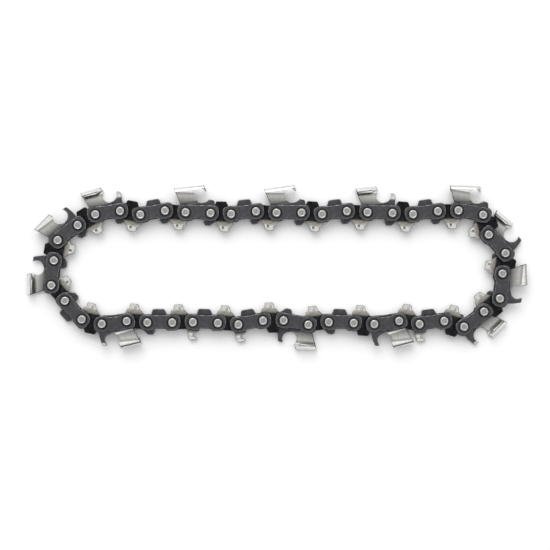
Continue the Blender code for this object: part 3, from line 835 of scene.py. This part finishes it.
def soft_strap(name, kind, bottom, material=blued_steel):
    item = stamping(name, strap_outline(kind), bottom, STRAP_THICKNESS, material)
    return soften(item, EDGE_WIDTH, shade_painted_edge, highlight_line_edge, ROLL_SEGMENTS)


def tie_link(name, lower_name, lower_kind, lower_material=blued_steel):
    upper = soft_strap("upper_strap", "plain", UPPER_PLATE)
    lower = soft_strap(lower_name, lower_kind, LOWER_PLATE, lower_material)
    return riveted(name, [upper, lower], True, True)


def preset_strap(name, kind):
    """The strap opposite a cutter; only its own ends of the rivets are sunk into it."""
    return riveted(name, [soft_strap("preset_strap", kind, LOWER_PLATE)], False, True)


# %% Masters of the riveted links
masters = {"tie": tie_link("tie_master", "lower_strap", "humped"),
           "guard": tie_link("guard_master", "guard_strap", "toothed", tooth_steel),
           "preset_lower": preset_strap("preset_master", "footed"),
           "preset_upper": mirrored(preset_strap("upper_preset_master", "plain"), "Z")}
for kind in list(masters):
    other_way = copy_of(masters[kind], kind + "_flipped_master")
    masters[kind + "_flipped"] = mirrored(other_way, "Y")
print("Riveted masters:", {name: len(item.data.polygons) for name, item in masters.items()})

# %% [markdown]
# ## Drive links
#
# The drive link runs between the straps. Below its rivets it narrows to a tang, which the
# sprocket pushes and which scoops oil along the groove with the hook at its front. Links that
# follow a cutter have a bumper on their back. Arcs and a few corners give the outline, and
# cylinders cut the two rivet holes and the oil hole.

# %% Tang and bumper
DRIVE_HALF = 2.95
TANG_DEPTH = 7.5
TANG_REAR = 1.3
TANG_FRONT = 1.2
TIP_WIDTH = 3.2
TIP_MIDDLE = DRIVE_HOLES / 2 + 2.0      # the tip leads the middle of the link
TIP_REAR_ROUND = 1.0
TIP_FRONT_ROUND = 0.5
HOOK_RADIUS = 0.8
HOOK_RISE = 1.5
BUMPER_HEIGHT = 5.2
BUMPER_START = 1.2
BUMPER_END = 7.4
BUMPER_ROUND = 0.8
BUMPER_RUN = 1.5          # from each end of the bumper to the middle of its round


def tang():
    """The edge of the tang from its rear root round its tip and the hook to its front root."""
    front = TIP_MIDDLE + TIP_WIDTH / 2
    rear = TIP_MIDDLE - TIP_WIDTH / 2
    heel = arc(rear + 0.35, TIP_REAR_ROUND - TANG_DEPTH, TIP_REAR_ROUND, 200, 270, 4)
    tip = arc(front - 0.55, TIP_FRONT_ROUND - TANG_DEPTH, TIP_FRONT_ROUND, 270, 345, 3)
    hook = arc(front + HOOK_RADIUS, HOOK_RISE - TANG_DEPTH, HOOK_RADIUS, 195, 75, 6)
    root = (DRIVE_HOLES + TANG_FRONT, -math.sqrt(DRIVE_HALF ** 2 - TANG_FRONT ** 2))
    return [(TANG_REAR, -DRIVE_HALF), (rear - 0.95, 2.0 - TANG_DEPTH)] + heel + tip + hook + [root]


def bumper():
    middle = BUMPER_HEIGHT - BUMPER_ROUND
    return ([(BUMPER_END, DRIVE_HALF)]
            + arc(BUMPER_END - BUMPER_RUN, middle, BUMPER_ROUND, 10, 90, 4)
            + arc(BUMPER_START + BUMPER_RUN, middle, BUMPER_ROUND, 90, 170, 4)
            + [(BUMPER_START, DRIVE_HALF)])


# %% Masters of the drive link
OIL_HOLE = (TIP_MIDDLE - 0.9, 1.75 - TANG_DEPTH)
OIL_HOLE_RADIUS = 0.38
DRIVE_EDGE = 0.18


def drive_link(name, with_bumper):
    front = arc(DRIVE_HOLES, 0, DRIVE_HALF, -60, 90, 14)
    rear = arc(0, 0, DRIVE_HALF, 90, 270, 16)
    outline = front + (bumper() if with_bumper else []) + rear + tang()
    item = stamping(name, outline, DRIVE_LAYER, DRIVE_THICKNESS, drive_steel)
    drill(item, (0.0, DRIVE_HOLES), HUB_RADIUS + RUNNING_GAP, drive_steel)
    oil_hole = cylinder("oil_hole", OIL_HOLE_RADIUS, *OIL_HOLE, drive_steel, 16)
    boolean(item, oil_hole, "DIFFERENCE")
    return soften(item, DRIVE_EDGE, edge_steel)


masters["drive"] = drive_link("drive_master", False)
masters["bumper"] = drive_link("bumper_master", True)
print("Drive link faces:", len(masters["drive"].data.polygons))

# %% [markdown]
# ## Cutters
#
# A cutter starts as a strap with a depth gauge at its front. From it rises the side plate,
# which bends over into the top plate. A round file cuts the edge at 30 degrees and leaves the
# gullet. So the chassis is stamped, the plates are drawn as a bent section and pushed along
# the chain, both are joined, and a cylinder takes the file's place.

# %% Depth gauges
FILE = (3.0, 6.6, 7.3)    # radius of the file and where its middle passes
BEAK_FILE = (3.2, 6.6, 7.4)
GULLET_FLOOR = FILE[2] - FILE[0] - 0.3
GULLET_X = FILE[1]
LOW_GULLET = HALF + 0.9
GAUGE_TOP = 9.2
GAUGE_FRONT = 12.2
GAUGE_START = 3.0
GAUGE_TIP = 9.0
GAUGE_CROWN = 2.4
GAUGE_SHOULDER = 5.8
GAUGE_NECK = 3.0
GAUGE_ROUND = 0.9
GAUGE_ROOT = 0.5          # the gauge goes down to this height inside the chassis
LOW_GAUGE_TOP = 5.6
BEAK_ROUND = 1.1
TIP_GAUGE_TOP = 8.4
TIP_GAUGE_FRONT = 11.6
TIP_GAUGE_WIDTH = 3.0
TIP_GAUGE_ROUND = 1.3


def hooked_gauge():
    """The upper edge of the gauge, from its foot at the front back to the gullet."""
    crown_end = GAUGE_TIP + GAUGE_CROWN - GAUGE_ROUND
    return ([(GAUGE_FRONT, HALF), (GAUGE_TIP + GAUGE_NECK, GAUGE_SHOULDER)]
            + arc(crown_end, GAUGE_TOP - GAUGE_ROUND, GAUGE_ROUND, 0, 90, 5)
            + [(GAUGE_TIP + 0.4, GAUGE_TOP), (GAUGE_TIP, GAUGE_TOP - 0.1),
               (GULLET_X, GULLET_FLOOR)])


def beaked_gauge():
    return ([(GAUGE_FRONT, HALF)]
            + arc(GAUGE_FRONT - 1.3, LOW_GAUGE_TOP - BEAK_ROUND, BEAK_ROUND, 20, 90, 4)
            + [(GAUGE_TIP, LOW_GAUGE_TOP), (GULLET_X, LOW_GULLET)])


def tipped_gauge():
    rear = TIP_GAUGE_FRONT - TIP_GAUGE_WIDTH
    return ([(TIP_GAUGE_FRONT, HALF)]
            + arc(TIP_GAUGE_FRONT - TIP_GAUGE_ROUND, TIP_GAUGE_TOP - TIP_GAUGE_ROUND,
                  TIP_GAUGE_ROUND, 0, 90, 4)
            + [(rear, TIP_GAUGE_TOP), (rear + 0.5, TIP_GAUGE_TOP - 1.2),
               (rear + 0.45, LOW_GAUGE_TOP), (GULLET_X, LOW_GULLET)])


GAUGES = {"hooked": hooked_gauge, "beaked": beaked_gauge, "tipped": tipped_gauge}


def gauge_outline(style):
    """The gauge with the root by which it grows out of the chassis."""
    return GAUGES[style]() + [(GAUGE_START + 0.8, GULLET_FLOOR), (GAUGE_START, HALF),
                              (GAUGE_START, GAUGE_ROOT), (GAUGE_FRONT - 0.3, GAUGE_ROOT)]


for style in GAUGES:
    print("Points of a", style, "gauge:", len(gauge_outline(style)))

# %% Section of the side plate and the top plate
CUTTER_TOP = 10.6
CUTTER_FLARE = 0.6
CUTTER_ROOT = 2.3
TOP_PLATE_WIDTH = 4.6
TOP_PLATE_THICKNESS = 1.0
TOP_PLATE_BEND = 1.7
TOP_PLATE_TILT = 20.0
GAUGE_RECESS = 0.3        # step from the chassis down to the gauge and the strip's foot
CUTTER_FACE = UPPER_PLATE + SEAT_GAP + CUTTER_PLATE


def plate_section():
    """The bent strip seen from the front, as (height, depth) points."""
    face = CUTTER_FACE + CUTTER_FLARE
    bend = TOP_PLATE_BEND
    knee = CUTTER_TOP - bend
    near = face - TOP_PLATE_WIDTH
    back = CUTTER_FACE - CUTTER_PLATE
    free_edge = CUTTER_TOP - TOP_PLATE_WIDTH * math.tan(math.radians(TOP_PLATE_TILT))
    return ([(CUTTER_ROOT, CUTTER_FACE - GAUGE_RECESS), (HALF + 0.2, CUTTER_FACE - GAUGE_RECESS),
             (HALF + 0.9, CUTTER_FACE)]
            + arc(knee, face - bend, bend, 90, 0, 8)
            + [(free_edge, near), (free_edge - TOP_PLATE_THICKNESS, near)]
            + arc(knee, face - bend, bend - TOP_PLATE_THICKNESS, 0, 90, 5)
            + [(HALF + 0.6, back + 0.2), (CUTTER_ROOT, back + 0.1)])


print("Points of the section:", len(plate_section()))

# %% The strip and the file
CUTTER_TAIL = 0.85        # a little short of the solids, whose straps have facets
CUTTER_LEAN = 16.0
CUTTER_SLOPE = 8.0
FILE_ANGLE = 30.0
FILE_STEPS = 56
PLATE_EDGE = 0.2          # bevel along the strip; what the file cuts stays sharp
BEND_LIMIT = 50.0         # degrees; the gentler steps of the bend get no bevel


def bent_plates(nose):
    """The strip, drawn on its leaning rear end and pushed forwards, then sloped as a whole."""
    lean = math.tan(math.radians(CUTTER_LEAN))
    rear_end = [(-CUTTER_TAIL - lean * y, y, z) for y, z in plate_section()]
    strip = extruded("bent_plates", rear_end, (CUTTER_TAIL + nose, 0, 0), hard_chrome)
    strip.rotation_euler.z = math.radians(CUTTER_SLOPE)
    apply_place()
    # The strip's bevels get the roll's painted shade
    return soften(strip, PLATE_EDGE, shade_painted_edge, angle=BEND_LIMIT)


def round_file(radius, x, y):
    deselect()
    bpy.ops.mesh.primitive_cylinder_add(vertices=FILE_STEPS, radius=radius,
                                        depth=4 * TOTAL_HEIGHT,
                                        location=(x, y, UPPER_PLATE + STRAP_THICKNESS / 2),
                                        rotation=(0, math.radians(FILE_ANGLE), 0))
    item = bpy.context.object
    apply_place()
    item.data.materials.append(hard_chrome)
    return item


# %% Chassis and cutter
def chassis_outline(footed):
    front_outer, rear_outer, rear_inner, front_inner = corner_arcs()
    lower = waist() + front_inner
    if footed:
        lower = waist()[:WAIST_BEFORE_TOE] + toe() + front_inner[CORNER_AFTER_TOE:]
    return front_outer + rear_outer + rear_inner + lower


def cutter(name, style, footed, nose, file):
    """The gauge and the bent plates are filed together, and the chassis lies before them."""
    bottom = UPPER_PLATE + SEAT_GAP
    blade = stamping("blade", gauge_outline(style), bottom, CUTTER_PLATE - GAUGE_RECESS,
                     tip_steel if style == "tipped" else blued_steel)
    soften(blade, PLATE_EDGE, shade_painted_edge, highlight_line_edge, segments=3)
    boolean(blade, bent_plates(nose), "UNION")
    boolean(blade, round_file(*file), "DIFFERENCE")
    item = stamping(name, chassis_outline(footed), bottom, CUTTER_PLATE, blued_steel)
    soften(item, EDGE_WIDTH, shade_painted_edge, highlight_line_edge, ROLL_SEGMENTS)
    boolean(item, blade, "UNION")
    drill(item, (0.0, SIDE_HOLES), SHANK_RADIUS + RUNNING_GAP, blued_steel)
    return item


# %% Masters of the cutters
CUTTER_NOSE = 7.9
BEAK_NOSE = 11.8

masters["hooked_upper"] = cutter("hooked_master", "hooked", False, CUTTER_NOSE, FILE)
masters["beaked_upper"] = cutter("beaked_master", "beaked", False, BEAK_NOSE, BEAK_FILE)
for style in ("hooked", "tipped"):
    made = cutter(style + "_lower_master", style, True, CUTTER_NOSE, FILE)
    masters[style + "_lower"] = mirrored(made, "Z")
print("Cutter faces:", len(masters["hooked_upper"].data.polygons))

# %% [markdown]
# Every master is smoothed and stores link_place while it still lies at the origin. The back of
# a flipped master points down, so its y is stored with the other sign, and the finishes find
# the back where it is. The normals follow the large faces, so that those look flat between
# their rolled edges.

# %% Smooth the masters and store where each point lies
SMOOTH_ANGLE = 38.0


def finish_master(item, flipped):
    """Smooths the faces, stores each point's place on the undrawn link and hides the master."""
    pick(item)
    bpy.ops.object.shade_smooth_by_angle(angle=math.radians(SMOOTH_ANGLE))
    flatten = item.modifiers.new("Flat faces stay flat", "WEIGHTED_NORMAL")
    flatten.keep_sharp = True
    flatten.weight = 100
    bpy.ops.object.modifier_apply(modifier=flatten.name)
    side = -1 if flipped else 1
    place = item.data.attributes.new("link_place", "FLOAT_VECTOR", "POINT")
    values = [value for vertex in item.data.vertices
              for value in (vertex.co.x, side * vertex.co.y, vertex.co.z)]
    place.data.foreach_set("vector", values)
    item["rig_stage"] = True
    item.hide_render = True


for name, item in masters.items():
    finish_master(item, name.endswith("_flipped"))
print("Masters:", ", ".join(masters))

# %% [markdown]
# ## Along the loop
#
# The frame has one joint for each link that swings, and the joint's place is a rivet. Three
# rivets have no joint in the frame: two belong to the link that the tree starts from, and one
# is where the loop is closed. They are given here. From 46 rivets, each link gets its rear
# rivet and its direction.

# %% The rivets of the loop
OPEN_RIVETS = {("side", 1): (-0.075877, 0.0221781), ("drive", 1): (-0.0655287, 0.0236325),
               ("side", 12): (0.0865263, -0.0184529)}     # metres
SIDE_COUNT = 23
LAST_CLOCKWISE = 11       # links up to here hang on their rear rivet, later ones on their front

pins = {joint["name"]: joint["pos_m"][:2] for joint in frame["joints"]}


def rear_rivet(kind, number):
    """The rivet at the rear of a link, in metres."""
    if (kind, number) in OPEN_RIVETS:
        return Vector(OPEN_RIVETS[(kind, number)])
    word = "swing" if kind == "side" else "turn"
    if 1 < number <= LAST_CLOCKWISE:
        return Vector(pins[f"{kind}_{number:02d}_{word}"])
    # Later links hang on their front rivet, which is the rear rivet of the link after them
    if kind == "side":
        return Vector(pins[f"drive_{number - 1:02d}_turn"])
    return Vector(pins[f"side_{number:02d}_swing"])


def link_after(kind, number):
    return ("drive", number) if kind == "side" else ("side", number % SIDE_COUNT + 1)


print("Rivets:", len(pins) + len(OPEN_RIVETS))


# %% Copy a master onto its link
def body_name(kind, number):
    if (kind, number) in (("side", 1), ("drive", 1), ("drive", SIDE_COUNT)):
        return "chain_start"
    return f"{kind}_{number:02d}"


def put(master, name, kind, number):
    """Copies a master onto its link and lets it stand for the CAD node of that name."""
    rear = rear_rivet(kind, number)
    front = rear_rivet(*link_after(kind, number))
    run = front - rear
    made = copy_of(masters[master], name + "_look")
    made.location = (rear.x, rear.y, 0.0)
    made.rotation_euler.z = math.atan2(run.y, run.x)
    made.scale = (TO_METRES, TO_METRES, TO_METRES)
    apply_place()
    made.hide_render = False
    del made["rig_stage"]  # the master is no part of the object, but its copy is
    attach(made, body_name(kind, number))
    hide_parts(name)
    return made


# %% Which piece stands where
CUTTER_SIDES = {1: "lower", 3: "upper", 5: "upper", 7: "lower", 9: "upper", 10: "lower",
                11: "upper", 12: "lower", 14: "upper", 16: "lower", 20: "upper", 22: "lower",
                23: "upper"}
BEAKED = (3, 5, 9)
TIPPED = (1, 7)
HIGHLIGHTED_HOOKS = (12, 20)
GUARD_TEETH = (13, 17, 18)
FLIPPED = range(13, 21)


def put_cutter(number, flipped):
    """A cutter in its layer, and its preset strap in the other one."""
    side = CUTTER_SIDES[number]
    other = "lower" if side == "upper" else "upper"
    style = "beaked" if number in BEAKED else "tipped" if number in TIPPED else "hooked"
    hand = "left" if side == "upper" else "right"
    made = put(f"{style}_{side}", f"{hand}_cutter_{number:02d}", "side", number)
    # A painted highlight on the gauge tips of these cutters
    if number in HIGHLIGHTED_HOOKS:
        slots = made.data.materials
        slots[slots.find(blued_steel.name)] = gauge_highlight_steel
    put(f"preset_{other}{flipped}", f"preset_strap_{number:02d}", "side", number)


def put_tie(number, flipped):
    kind = "guard" if number in GUARD_TEETH else "tie"
    put(kind + flipped, f"tie_link_{number:02d}", "side", number)


# %% Lay the whole loop
for number in range(1, SIDE_COUNT + 1):
    has_cutter = number in CUTTER_SIDES
    put_side = put_cutter if has_cutter else put_tie
    put_side(number, "_flipped" if number in FLIPPED else "")
    put("bumper" if has_cutter else "drive", f"drive_link_{number:02d}", "drive", number)
for item in masters.values():
    bpy.data.objects.remove(item, do_unlink=True)
looks = [item for item in bpy.data.objects if item.name.endswith("_look")]
print("Pieces placed:", len(looks))
